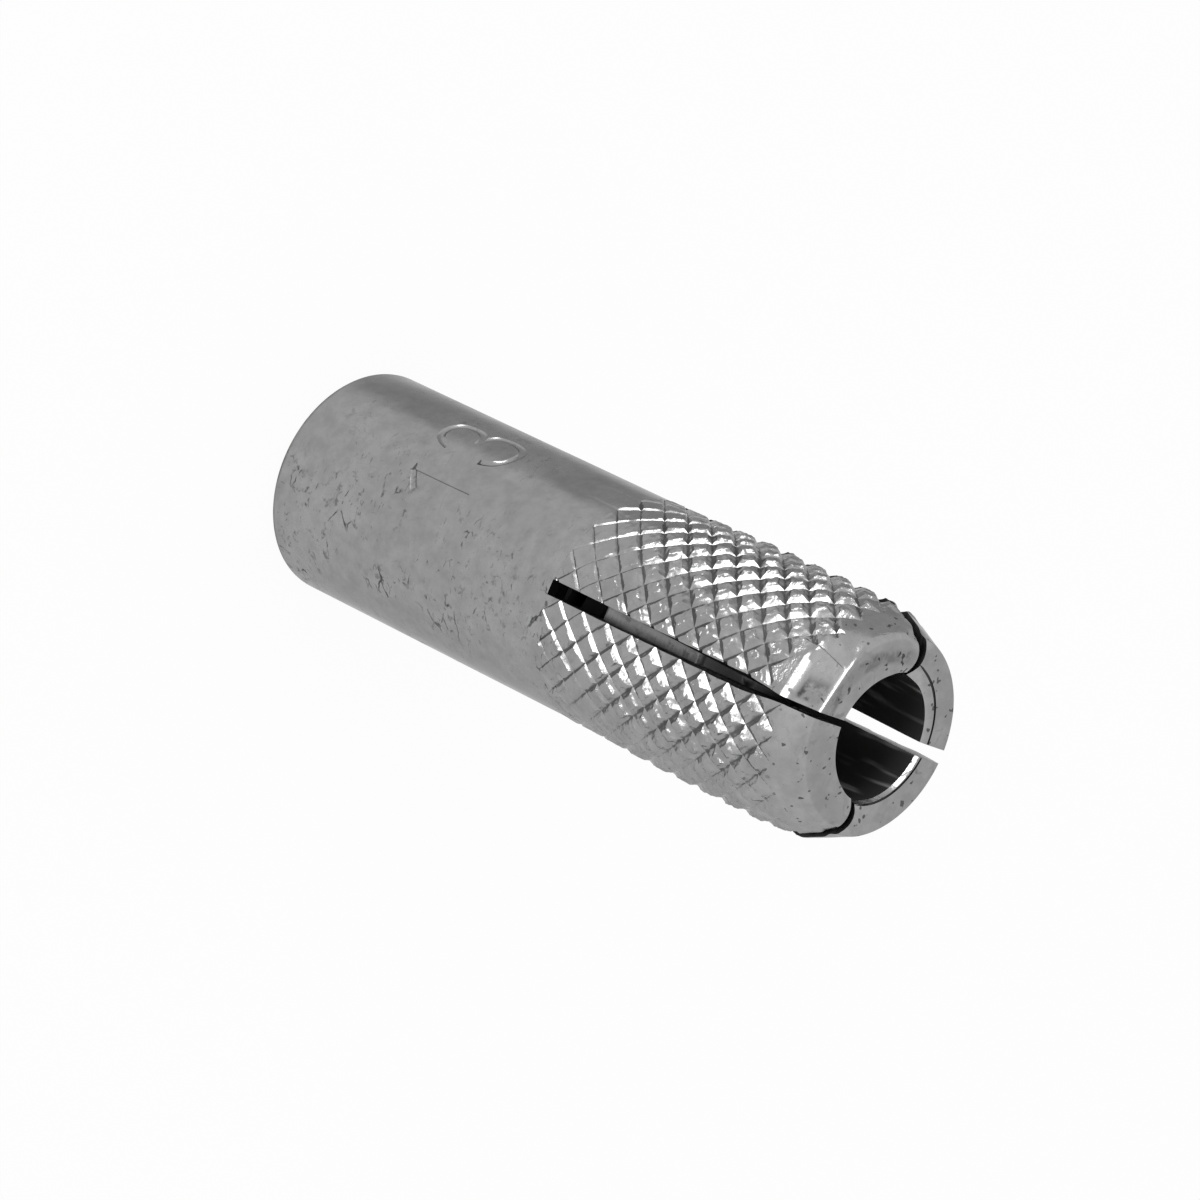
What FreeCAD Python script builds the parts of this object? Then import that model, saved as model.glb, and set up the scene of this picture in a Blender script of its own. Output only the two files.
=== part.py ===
"""Half-inch drop-in anchor: a knurled, slotted steel sleeve with its expander plug inside.

The anchor stands on its threaded mouth end. The origin is the centre of that end face,
+Z runs up the axis to the slotted tip, and the widest-open slot faces +Y. Millimetres.
"""
import FreeCAD
import Part
import math
import os

# Sleeve, outside
anchor_length = 50.8
barrel_diameter = 15.8
mouth_edge_chamfer = 0.35
plain_length = 27.3
tip_length = 2.6
tip_end_diameter = 13.9
tip_edge_chamfer = 0.2

# Sleeve, inside
thread_major_diameter = 12.7
thread_pitch = 1.954
thread_minor_ratio = 1.0825
thread_depth = 20.6
mouth_countersink = 0.2
chamber_diameter = 12.4
chamber_past_slot_start = 1.3
tip_bore_diameter = 8.8
tip_bore_chamfer = 0.45

# Four slots that split the tip into leaves, each narrowed where the tip is closed in
slot_before_knurl = 0.1
slot_width = 1.05
slot_narrowing_from_tip = 5.0
slot_narrowing_length = 2.6
slot_tip_width_front = 0.45
slot_tip_width_right = 0.46
slot_tip_width_back = 0.95
slot_tip_width_left = 0.57

# Diamond knurl: two crossing sets of straight-flanked grooves
knurl_starts = 23
knurl_pitch = 2.256
knurl_turn = -94.7
knurl_crest_rise = 0.26
knurl_root_depth = 0.36
knurl_first_depth = 0.13
knurl_first_flat = 0.76
knurl_last_flat = 0.14
knurl_deepening_length = 9.5
knurl_end_fade_length = 1.5

# Expander plug, wedged in the tapered bore
plug_length = 8.8
plug_front_to_tip = 11.5
plug_clearance = 0.05
plug_edge_chamfer = 0.4

# Worked out from the sizes above
barrel_radius = barrel_diameter / 2
thread_minor_radius = thread_major_diameter / 2 - thread_minor_ratio * thread_pitch / 2
tip_start = anchor_length - tip_length
slot_start = plain_length - slot_before_knurl
chamber_radius = chamber_diameter / 2
chamber_end = slot_start + chamber_past_slot_start
thread_end = thread_depth
countersink_radius = thread_major_diameter / 2 + mouth_countersink
tip_bore_radius = tip_bore_diameter / 2
reach = barrel_diameter

AXIS = FreeCAD.Vector(0, 0, 1)
ORIGIN = FreeCAD.Vector(0, 0, 0)


def turned(profile):
    """A solid of revolution about Z from (radius, height) corners."""
    points = [FreeCAD.Vector(radius, 0, height) for radius, height in profile]
    face = Part.Face(Part.makePolygon(points + points[:1]))
    return face.revolve(ORIGIN, AXIS, 360)


def bore_corners():
    """(radius, height) corners of the bore's wall, from the mouth to the tip."""
    relief = chamber_radius - thread_minor_radius
    return [
        (countersink_radius, 0),
        (thread_minor_radius, countersink_radius - thread_minor_radius),
        (thread_minor_radius, thread_end),
        (chamber_radius, thread_end + abs(relief)),
        (chamber_radius, chamber_end),
        (tip_bore_radius, anchor_length - tip_bore_chamfer),
        (tip_bore_radius + tip_bore_chamfer, anchor_length),
    ]


def bore_radius(height):
    """The bore's radius at a height, read off its straight runs."""
    corners = bore_corners()
    for (radius_a, z_a), (radius_b, z_b) in zip(corners, corners[1:]):
        if height <= z_b and z_b > z_a:
            return radius_a + (radius_b - radius_a) * (height - z_a) / (z_b - z_a)
    return corners[-1][0]


def plain_barrel():
    """The smooth half of the outside, from the mouth to where the knurl starts."""
    return turned([
        (0, 0),
        (barrel_radius - mouth_edge_chamfer, 0),
        (barrel_radius, mouth_edge_chamfer),
        (barrel_radius, plain_length),
        (0, plain_length),
    ])


def tip_cone():
    """The closed-in end past the knurl."""
    end_radius = tip_end_diameter / 2
    return turned([
        (0, tip_start),
        (barrel_radius, tip_start),
        (end_radius, anchor_length - tip_edge_chamfer),
        (end_radius - tip_edge_chamfer, anchor_length),
        (0, anchor_length),
    ])


def knurl_growth(height):
    """0 where the knurl is only scored, 1 where it is fully raised."""
    in_from_start = (height - plain_length) / knurl_deepening_length
    in_from_end = (tip_start - height) / knurl_end_fade_length + 0.35
    return max(0.0, min(1.0, in_from_start, in_from_end))


def knurl_flat(height):
    """Share of a diamond that stays flat on top."""
    return knurl_first_flat + (knurl_last_flat - knurl_first_flat) * knurl_growth(height)


def root_radius(height):
    """Radius at the bottom of the grooves."""
    depth = knurl_first_depth + (knurl_root_depth - knurl_first_depth) * knurl_growth(height)
    return barrel_radius - depth


def crest_radius(height):
    """Radius at the top of the diamonds, a hair under the barrel where they start."""
    return barrel_radius - 0.02 + (knurl_crest_rise + 0.02) * knurl_growth(height)


class KnurlLattice:
    """Nodes in staggered rows: grooves cross at the even nodes, diamonds stand on the odd ones."""

    def __init__(self):
        self.columns = 2 * knurl_starts
        self.column_angle = math.pi / knurl_starts
        self.row_height = knurl_pitch / 2
        self.rows = math.ceil((tip_start - plain_length) / self.row_height - 1e-6)

    def point(self, column, row, radius):
        """A point over a node, which may lie between nodes."""
        angle = math.radians(knurl_turn) + column * self.column_angle
        height = plain_length + row * self.row_height
        return FreeCAD.Vector(radius * math.cos(angle), radius * math.sin(angle), height)

    def height(self, row):
        return plain_length + row * self.row_height

    def crossing(self, column, row):
        return self.point(column, row, root_radius(self.height(row)))

    def flat_corner(self, column, row, step):
        """A corner of the flat on a diamond; the flat is square to its own radius."""
        flat = knurl_flat(self.height(row))
        radius = crest_radius(self.height(row))
        if step[0] == 0:
            radius *= math.cos(flat * self.column_angle)
        return self.point(column + flat * step[0], row + flat * step[1], radius)


def polygon_face(points):
    return Part.Face(Part.makePolygon(points + points[:1]))


def diamond_faces(lattice, column, row):
    """The flanks and the flat of one diamond, or of half a one on the first and last rows."""
    around = [(1, 0), (0, 1), (-1, 0), (0, -1)]
    inside = [step for step in around if 0 <= row + step[1] <= lattice.rows]
    faces = []
    for step, following in zip(around, around[1:] + around[:1]):
        if step in inside and following in inside:
            low_a = lattice.crossing(column + step[0], row + step[1])
            low_b = lattice.crossing(column + following[0], row + following[1])
            high_a = lattice.flat_corner(column, row, step)
            high_b = lattice.flat_corner(column, row, following)
            faces.append(polygon_face([low_a, low_b, high_b]))
            faces.append(polygon_face([low_a, high_b, high_a]))
    faces.append(polygon_face([lattice.flat_corner(column, row, step) for step in inside]))
    return faces


def end_cap(lattice, row):
    """The flat end of the knurled band at a row."""
    points = []
    for column in range(lattice.columns):
        if (column + row) % 2 == 0:
            points.append(lattice.crossing(column, row))
        else:
            points.append(lattice.flat_corner(column, row, (-1, 0)))
            points.append(lattice.flat_corner(column, row, (1, 0)))
    return polygon_face(points)


def knurled_band():
    """The knurled length as one faceted solid, cut off square where the tip starts."""
    lattice = KnurlLattice()
    faces = [end_cap(lattice, 0), end_cap(lattice, lattice.rows)]
    for row in range(lattice.rows + 1):
        for column in range(lattice.columns):
            if (column + row) % 2 == 1:
                faces += diamond_faces(lattice, column, row)
    skin = Part.makeCompound(faces)
    skin.sewShape()
    band = Part.Solid(skin.Shells[0])
    if band.Volume < 0:
        band.reverse()
    length = tip_start - plain_length
    return band.common(Part.makeCylinder(reach, length, FreeCAD.Vector(0, 0, plain_length)))


def slot_cutter(tip_width, turn):
    """One slot's blade, from the axis outwards, turned about Z from the -Y side."""
    wide = slot_width / 2
    narrow = tip_width / 2
    narrow_from = anchor_length - slot_narrowing_from_tip
    narrow_to = narrow_from + slot_narrowing_length
    past_tip = anchor_length + 1
    corners = [
        (-wide, slot_start), (wide, slot_start), (wide, narrow_from), (narrow, narrow_to),
        (narrow, past_tip), (-narrow, past_tip), (-narrow, narrow_to), (-wide, narrow_from),
    ]
    blade = polygon_face([FreeCAD.Vector(x, 0, z) for x, z in corners])
    cutter = blade.extrude(FreeCAD.Vector(0, -reach, 0))
    cutter.rotate(ORIGIN, AXIS, turn)
    return cutter


def slot_cutters():
    widths = [slot_tip_width_front, slot_tip_width_right, slot_tip_width_back, slot_tip_width_left]
    return [slot_cutter(width, 90 * number) for number, width in enumerate(widths)]


def bore_core():
    """What the bore takes out of the sleeve."""
    past = 1
    corners = bore_corners()
    foot = (corners[0][0], -past)
    top = (corners[-1][0], anchor_length + past)
    return turned([(0, -past), foot] + corners + [top, (0, anchor_length + past)])


def anchor_sleeve():
    body = plain_barrel().fuse([knurled_band(), tip_cone()])
    return body.cut([bore_core()] + slot_cutters())


def expander_plug():
    """A short cone that fills the tapered bore, wide end towards the mouth."""
    front = anchor_length - plug_front_to_tip
    rear = front - plug_length
    front_radius = bore_radius(front) - plug_clearance
    rear_radius = bore_radius(rear) - plug_clearance
    taper = (rear_radius - front_radius) / plug_length
    edge = plug_edge_chamfer
    return turned([
        (0, rear),
        (rear_radius - edge, rear),
        (rear_radius - taper * edge, rear + edge),
        (front_radius + taper * edge, front - edge),
        (front_radius - edge, front),
        (0, front),
    ])


def export(name, shape):
    """Writes one sub-part's solid."""
    solid = shape.Solids[0]
    box = solid.BoundBox
    print(name, "solids", len(shape.Solids), "valid", shape.isValid(), "faces", len(shape.Faces),
          "volume", round(shape.Volume, 2), "z", round(box.ZMin, 3), round(box.ZMax, 3))
    shape.exportStep("parts/" + name + ".step")


def main():
    os.makedirs("parts", exist_ok=True)
    export("anchor_sleeve", anchor_sleeve())
    export("expander_plug", expander_plug())


main()
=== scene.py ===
"""Half-inch drop-in anchor: a knurled, slotted sleeve, its expander plug and a plain studio."""
import math

import bmesh
import bpy
from bpy.props import FloatProperty, FloatVectorProperty, IntProperty, PointerProperty
from mathutils import Matrix, Quaternion, Vector, noise


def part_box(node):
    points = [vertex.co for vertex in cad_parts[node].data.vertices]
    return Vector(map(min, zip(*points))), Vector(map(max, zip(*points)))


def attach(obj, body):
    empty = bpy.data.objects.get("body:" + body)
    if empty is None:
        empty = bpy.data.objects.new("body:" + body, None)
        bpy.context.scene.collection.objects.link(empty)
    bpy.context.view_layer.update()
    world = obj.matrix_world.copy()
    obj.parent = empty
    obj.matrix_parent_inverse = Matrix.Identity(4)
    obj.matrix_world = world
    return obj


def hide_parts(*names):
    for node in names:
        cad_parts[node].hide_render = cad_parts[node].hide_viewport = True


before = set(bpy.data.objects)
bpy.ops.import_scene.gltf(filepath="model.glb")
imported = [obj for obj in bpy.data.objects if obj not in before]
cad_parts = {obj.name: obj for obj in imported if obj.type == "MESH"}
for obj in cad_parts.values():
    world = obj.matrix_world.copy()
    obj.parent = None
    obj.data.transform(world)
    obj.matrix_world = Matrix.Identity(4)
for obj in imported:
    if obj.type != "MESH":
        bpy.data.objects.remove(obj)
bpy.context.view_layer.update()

bl_info = {
    "name": "Drop-in Anchor",
    "version": (1, 0, 0),
    "blender": (4, 5, 0),
    "location": "View3D > Sidebar > Anchor",
    "description": "Models a drop-in anchor and the studio that it stands in",
    "category": "Add Mesh",
}

MM = 0.001
SLEEVE_LOW, SLEEVE_HIGH = (Vector(corner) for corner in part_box("anchor_sleeve"))
PLUG_LOW, PLUG_HIGH = (Vector(corner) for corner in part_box("expander_plug"))
LENGTH = SLEEVE_HIGH.z - SLEEVE_LOW.z

# The side of the sleeve that faces the photograph's camera, in degrees round from +X
CAMERA_SIDE = -94.7

# Radius, in millimetres, at which the unevenness of the knurl is read
NOISE_RADIUS = 7.9

# The side on which the knurl is shallower: its middle and spread in degrees, and the share missing
SOFT_MIDDLE, SOFT_SPREAD, SOFT_SHARE = -8, 30, 0.52

# The leaves either side of the front slot lie below this share of the distance out
FRONT_SHARE = 0.06

# The pressed flat: its middle in degrees from the front slot, its half width and how far it fades out
FACET_MIDDLE, FACET_REACH, FACET_FADE = 15.5, math.radians(16.5), math.radians(26)

# Run past the knurl at which its rubbed band starts, its steeper part starts and its edge turns in
FACET_BAND, FACET_STEEP, FACET_EDGE = 0.32 * MM, 0.80 * MM, 2.40 * MM

# The scored line beside the flat: degrees from the front slot, half width in degrees, depth
CORNER_PLACE, CORNER_HALF, CORNER_DEPTH = 32.6, 0.6, 0.09 * MM

# Strokes of the stamped 13, as heights in millimetres and degrees clockwise from the camera's side
STAMPED_STROKES = (
    ((12.25, 8.6), (11.9, 11.4), (11.6, 14.2), (11.3, 17.0), (11.2, 18.0)),
    ((11.1, 19.4), (12.5, 19.5), (14.0, 19.5), (15.5, 19.6), (16.8, 19.7)),
    ((12.0, 37.0), (10.7, 39.0), (10.3, 47.5), (10.9, 56.5), (13.2, 56.0), (13.5, 47.6)),
    ((13.5, 46.6), (13.4, 57.0), (15.2, 60.5), (16.9, 56.0), (17.0, 46.0), (16.3, 38.0), (15.2, 36.5)),
)

# Radius of the rod that presses each stroke, and how far its middle stands off the barrel
STAMP_ROD, STAMP_OFF = 0.40 * MM, 0.285 * MM


def length(name, description, millimetres):
    """A length property whose default is given in millimetres."""
    return FloatProperty(name=name, description=description, default=millimetres * MM,
                         min=0.0, unit="LENGTH", subtype="DISTANCE", precision=5)


def angle(name, description, degrees):
    """An angle property whose default is given in degrees."""
    return FloatProperty(name=name, description=description, default=math.radians(degrees),
                         unit="ROTATION", subtype="ANGLE")


def portion(name, description, value):
    """A property from 0 to 1."""
    return FloatProperty(name=name, description=description, default=value, min=0.0, max=1.0)


def grey(name, description, level):
    """A colour property that starts as a neutral grey."""
    return FloatVectorProperty(name=name, description=description, size=3, subtype="COLOR",
                               min=0.0, max=1.0, default=(level, level, level))


class SleeveSizes(bpy.types.PropertyGroup):
    barrel_radius: length("Barrel radius", "Outside radius of the plain half", 7.9)
    mouth_edge: length("Mouth edge", "Rounding of the barrel's outer edge at the mouth", 0.35)
    plain_length: length("Plain length", "From the mouth to where the knurl starts", 27.3)
    tip_length: length("Tip length", "The closed-in end past the knurl", 2.6)
    tip_end_radius: length("Tip end radius", "Outside radius of the end face", 6.95)
    thread_minor: length("Thread minor radius", "Bore radius at the crests of the thread", 5.292)
    thread_major: length("Thread major radius", "Bore radius at the roots of the thread", 6.35)
    thread_pitch: length("Thread pitch", "Half-inch coarse thread", 1.954)
    thread_depth: length("Thread depth", "How far the thread runs in from the mouth", 20.6)
    chamber_radius: length("Chamber radius", "Bore between the thread and the taper", 6.2)
    chamber_end: length("Chamber end", "Height at which the bore starts to taper", 28.5)
    tip_bore: length("Tip bore radius", "Bore radius at the tip", 4.4)
    tip_lip: length("Tip lip", "Bevel where the bore meets the end face", 0.45)


class SlotSizes(bpy.types.PropertyGroup):
    start: length("Start", "Height at which the slots start", 27.2)
    width: length("Width", "Width of the front and back slots as sawn", 1.05)
    left_width: length("Left width", "Width of the slot on the -X side as sawn", 1.05)
    left_turn: angle("Left turn", "How far the slot on the -X side stands back from square", 4.5)
    right_width: length("Right width", "Width of the slot on the +X side as sawn", 0.90)
    right_turn: angle("Right turn", "How far the slot on the +X side stands back from square", 2.0)
    bend_from: length("Bend from tip", "How far from the tip the leaves start to lean in", 5.4)
    bend_over: length("Bend length", "Length over which they lean in", 3.4)
    front_close: length("Front close", "How far the front slot's two leaves move together", 0.29)
    front_lean: length("Front lean", "How far the two front leaves lean towards the back", 0.40)
    back_close: length("Back close", "How far the back slot's two leaves move together", 0.07)


class KnurlSizes(bpy.types.PropertyGroup):
    starts: IntProperty(name="Starts", description="Grooves round the sleeve, each way",
                        default=23, min=3)
    cells: IntProperty(name="Cells", description="Mesh cells along half a diamond",
                       default=9, min=2)
    pitch: length("Pitch", "Length of a diamond along the sleeve", 2.256)
    turn: angle("Turn", "Where two grooves cross on the knurl's first row", CAMERA_SIDE)
    wall_slope: angle("Wall slope", "Slope of the grooves' walls", 38.5)
    first_rise: length("First rise", "How far the first diamonds stand over the barrel", 0.05)
    crest_rise: length("Crest rise", "How far the full diamonds stand over the barrel", 0.26)
    first_flat: portion("First flat", "Share left flat on the first diamonds", 0.85)
    last_flat: portion("Last flat", "Share left flat on the full diamonds", 0.38)
    light_length: length("Light length", "Length over which the knurl stays lightly scored", 0.6)
    deepening: length("Deepening", "Length over which it then reaches its full depth", 10.0)
    burr: length("Burr", "Roughness of the crests, where the metal was pushed up", 0.080)


class FinishColours(bpy.types.PropertyGroup):
    zinc: grey("Zinc", "Plated outside", 0.32)
    # Dark colour of the plating's smudges and scratches, also used for the painted shade on the plug's
    # nose
    tarnish_and_shade: grey("Tarnish and painted shade", "Smudges and scratches in the plating", 0.065)
    bore: grey("Bore", "Oiled, unplated inside", 0.12)
    sawn: grey("Sawn", "Walls of the back slot", 0.24)
    # Near-black painted shade on the walls of the front and side slots and in the scribed line on the
    # end faces
    painted_slot_shade: grey("Painted slot shade", "Walls of the dark slots", 0.03)
    plug: grey("Plug", "Turned steel of the plug", 0.25)
    floor: grey("Floor", "Studio floor", 0.90)


class StudioSettings(bpy.types.PropertyGroup):
    camera_azimuth: angle("Camera azimuth", "Round the sleeve from +X", CAMERA_SIDE)
    camera_elevation: angle("Camera elevation", "Above the floor", 41.58)
    camera_roll: angle("Camera roll", "Turn about the line of sight", 116.08)
    camera_distance: length("Camera distance", "From the sleeve's middle", 416.7)
    camera_right: length("Right of centre", "How far the sleeve sits right of centre", 0.53)
    camera_down: length("Below centre", "How far the sleeve sits below centre", 0.25)
    lamp_azimuth: angle("Lamp azimuth", "Round the sleeve from +X", -121.0)
    lamp_elevation: angle("Lamp elevation", "Above the floor", 11.0)
    lamp_distance: length("Lamp distance", "From the sleeve's middle", 800.0)
    lamp_width: length("Lamp width", "Of the softbox, level", 880.0)
    lamp_height: length("Lamp height", "Of the softbox, upright", 250.0)
    lamp_radiance: FloatProperty(name="Lamp radiance", description="Brightness of the softbox",
                                 default=6.0, min=0.0)
    lens: FloatProperty(name="Lens", description="Focal length, in millimetres",
                        default=189.13, min=1.0)


def deselect_all():
    if bpy.context.mode != "OBJECT":
        bpy.ops.object.mode_set(mode="OBJECT")
    bpy.ops.object.select_all(action="DESELECT")


def select_only(piece):
    deselect_all()
    piece.select_set(True)
    bpy.context.view_layer.objects.active = piece


def add_object(name, data):
    """Puts a new object with this mesh, curve, lamp or camera in the scene."""
    piece = bpy.data.objects.new(name, data)
    bpy.context.collection.objects.link(piece)
    return piece


def apply_place(piece):
    """Leaves the object at the origin, unturned, with its place in its mesh."""
    select_only(piece)
    bpy.ops.object.transform_apply(location=True, rotation=True, scale=True)


def spun(name, profile, steps):
    """A closed turned piece from (radius, height) corners that start and end on the axis."""
    mesh = bpy.data.meshes.new(name)
    corners = [(radius, 0.0, height) for radius, height in profile]
    mesh.from_pydata(corners, [(k, k + 1) for k in range(len(corners) - 1)], [])
    piece = add_object(name, mesh)
    select_only(piece)
    bpy.ops.object.mode_set(mode="EDIT")
    bpy.ops.mesh.select_all(action="SELECT")
    bpy.ops.mesh.spin(steps=steps, angle=2 * math.pi, center=(0, 0, 0), axis=(0, 0, 1))
    bpy.ops.mesh.select_all(action="SELECT")
    bpy.ops.mesh.remove_doubles(threshold=0.002 * MM)
    bpy.ops.mesh.normals_make_consistent(inside=False)
    bpy.ops.object.mode_set(mode="OBJECT")
    return piece


def cut_away(piece, cutter):
    """Takes the cutter out of the piece and deletes the cutter."""
    select_only(piece)
    cut = piece.modifiers.new("Cut", "BOOLEAN")
    cut.operation = "DIFFERENCE"
    cut.solver = "EXACT"
    cut.material_mode = "TRANSFER"
    cut.object = cutter
    bpy.ops.object.modifier_apply(modifier=cut.name)
    bpy.data.objects.remove(cutter)


def check_closed(piece):
    """Stops the script if the cuts left the piece open."""
    shape = bmesh.new()
    shape.from_mesh(piece.data)
    loose = sum(1 for edge in shape.edges if not edge.is_manifold)
    shape.free()
    if loose:
        raise RuntimeError(f"{piece.name} has {loose} open edges")


def smoothstep(value):
    value = max(0.0, min(1.0, value))
    return value * value * (3 - 2 * value)


def knurl_growth(height, sleeve, knurl):
    """0 where the knurl is only scored, 1 where it is fully raised."""
    return smoothstep((height - sleeve.plain_length - knurl.light_length) / knurl.deepening)


def knurl_crest(height, sleeve, knurl):
    """Radius of the diamonds' tops."""
    growth = knurl_growth(height, sleeve, knurl)
    rise = knurl.first_rise + (knurl.crest_rise - knurl.first_rise) * growth
    return sleeve.barrel_radius + rise


def groove_spacing(sleeve, knurl):
    """Distance across from one groove to the next."""
    round_pitch = 2 * math.pi * sleeve.barrel_radius / knurl.starts
    return knurl.pitch * round_pitch / math.hypot(knurl.pitch, round_pitch)


def rounded_ramp(value, blend):
    """0 below zero and the value above it, with the corner rounded."""
    if value <= -blend:
        return 0.0
    if value >= blend:
        return value
    return (value + blend) ** 2 / (4 * blend)


def knurl_radius(turn, height, sleeve, knurl):
    """Outside radius of the knurl, with the unevenness of rolled metal."""
    growth = knurl_growth(height, sleeve, knurl)
    across = (turn - knurl.turn) * knurl.starts / math.pi
    along = (height - sleeve.plain_length) / (knurl.pitch / 2)
    spot = Vector((NOISE_RADIUS * math.cos(turn), NOISE_RADIUS * math.sin(turn), height / MM))
    drift = noise.noise(spot * 0.45)
    flat = knurl.first_flat + (knurl.last_flat - knurl.first_flat) * growth
    flat = max(0.08, flat * (1 + 0.30 * drift))
    half = groove_spacing(sleeve, knurl) / 2
    wall = half * (1 - flat)
    steep = math.tan(knurl.wall_slope)
    deepest = 0.0
    for lean in (-1, 1):
        phase = ((across + lean * along) / 2) % 1.0
        aside = 2 * half * min(phase, 1 - phase)
        wander = 1 + 0.12 * noise.noise(spot * 1.7 + Vector((0, 0, 40 * lean)))
        deepest = max(deepest, steep * rounded_ramp(wall * wander - aside, 0.07 * MM))
    relief = steep * wall
    top = 1 - min(1.0, deepest / relief)
    deepest *= 1 - SOFT_SHARE * math.exp(-((math.degrees(turn) - SOFT_MIDDLE) / SOFT_SPREAD) ** 2)
    lip = 0.35 * knurl.burr * math.exp(-((top - 0.86) / 0.10) ** 2)
    grain = noise.noise(spot * 2.9) + 0.6 * noise.noise(spot * 6.3)
    ragged = knurl.burr * grain * (0.25 + 0.75 * top) * (0.30 + 0.70 * growth)
    return knurl_crest(height, sleeve, knurl) + lip + ragged - deepest


def from_front(turn, degrees):
    """Angle round from a place given in degrees from the front slot towards -X."""
    return (math.radians(-90 - degrees) - turn + math.pi) % (2 * math.pi) - math.pi


def from_side(turn):
    """0 at a side slot, 1 at the front slot."""
    return 1 - min(1.0, abs(from_front(turn, 0)) / math.radians(90))


def on_front_leaf(turn):
    """True for the two leaves either side of the front slot; changes over inside the side slots."""
    return math.sin(turn) < FRONT_SHARE


def pressed_facet(turn, run):
    """Radius of the flat that the die pressed on one front leaf: a rubbed band, then a steeper part."""
    rubbed = run + 0.36 * MM * noise.noise(Vector((15 * turn, 700 * run, 5.0)))
    if run > FACET_EDGE:
        return 6.41 * MM - 0.46 * (run - FACET_EDGE)
    if rubbed < FACET_BAND:
        return 7.99 * MM - 0.08 * (run - FACET_BAND)
    fall = 0.50 if rubbed < FACET_STEEP else 0.84
    return 7.75 * MM - fall * (run - FACET_STEEP)


def facet_aside(turn):
    """Angle from the middle of the pressed flat, or None on the other leaves."""
    if on_front_leaf(turn) and math.cos(turn) < 0:
        return abs(from_front(turn, FACET_MIDDLE))
    return None


def tip_radius(turn, height, sleeve):
    """Outside radius that the closing die leaves at the tip of each leaf."""
    run = height - (LENGTH - sleeve.tip_length)
    start = sleeve.barrel_radius + 0.08 * MM
    aside = facet_aside(turn)
    if not on_front_leaf(turn):
        end, edge = sleeve.tip_end_radius, 0.14 * MM
    elif aside is None:
        end, edge = sleeve.tip_end_radius - 0.05 * MM, 0.50 * MM
    else:
        end, edge = sleeve.tip_end_radius + 0.12 * MM, 0.60 * MM
    radius = start - (start - end) / sleeve.tip_length * run
    if aside is not None:
        beyond = smoothstep((aside - FACET_REACH) / FACET_FADE)
        flat = pressed_facet(turn, run) / math.cos(min(aside, FACET_REACH))
        radius = flat + (radius - flat) * beyond
        edge = 0.05 * MM + (edge - 0.05 * MM) * beyond
    over = height - (LENGTH - edge)
    if over > 0:
        radius -= 0.9 * edge * (1 - math.sqrt(max(0.0, 1 - (over / edge) ** 2)))
    beside_line = abs(from_front(turn, CORNER_PLACE)) < math.radians(CORNER_HALF)
    if beside_line and 0.1 * MM < run < 2.3 * MM:
        radius -= CORNER_DEPTH
    return radius


def tip_bore(turn, sleeve):
    """Bore radius at the tip: the front leaves are closed in further, most beside their slot."""
    if on_front_leaf(turn):
        return (4.05 + 0.60 * (1 - from_side(turn)) ** 2) * MM
    return sleeve.tip_bore + (0.22 * MM if math.cos(turn) > 0 else 0.0)


def lip_outer(turn, sleeve):
    """Radius at which the bore's lip meets the end face."""
    if on_front_leaf(turn):
        return tip_bore(turn, sleeve) + 0.06 * MM
    if math.cos(turn) > 0:
        return tip_bore(turn, sleeve) + 0.14 * MM
    return (4.93 + 0.20 * math.cos(turn - math.radians(160))) * MM


def lip_depth(turn):
    """How deep the bore's lip goes: shallow on one back leaf, steep on the other."""
    if on_front_leaf(turn):
        return 0.08 * MM
    return 0.27 * MM if math.cos(turn) > 0 else 0.12 * MM


def fixed(radius, height):
    """The place of a ring that is the same at every turn."""
    return lambda turn: (radius, height)


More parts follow.
